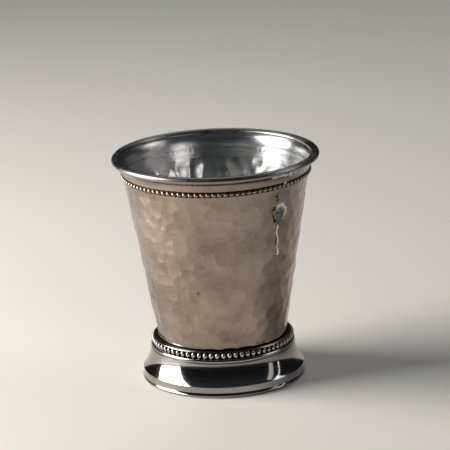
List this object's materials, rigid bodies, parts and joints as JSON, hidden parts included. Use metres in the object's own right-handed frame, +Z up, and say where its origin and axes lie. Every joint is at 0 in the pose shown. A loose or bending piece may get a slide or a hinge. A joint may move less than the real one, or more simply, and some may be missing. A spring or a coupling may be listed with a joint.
{
  "type": "shot cup",
  "caption": "Small footed metal shot cup with a hammered tapered wall, a rolled oval rim, two rows of beads and a concave foot.",
  "frame": {"origin": "centre of the plane that the base band stands on", "axes": "+Z is up along the cup's axis, through the middle of the mouth. The cup is round, so +X is any direction across it."},
  "size_m": [0.0514, 0.0514, 0.0571],
  "materials": {
    "hammered_nickel": "hammered outside, satin with fine brush lines, warm grey",
    "polished_nickel": "polished, dark in the recesses between the beads",
    "brushed_nickel": "brushed in circles"
  },
  "bodies": {
    "root": {"cup_wall": "hammered_nickel", "cup_floor": "brushed_nickel", "rim_wire": "polished_nickel", "upper_bead_wire": "polished_nickel", "foot_collar": "polished_nickel", "lower_bead_wire": "polished_nickel", "foot_cove": "polished_nickel", "base_band": "polished_nickel"}
  },
  "joints": []
}
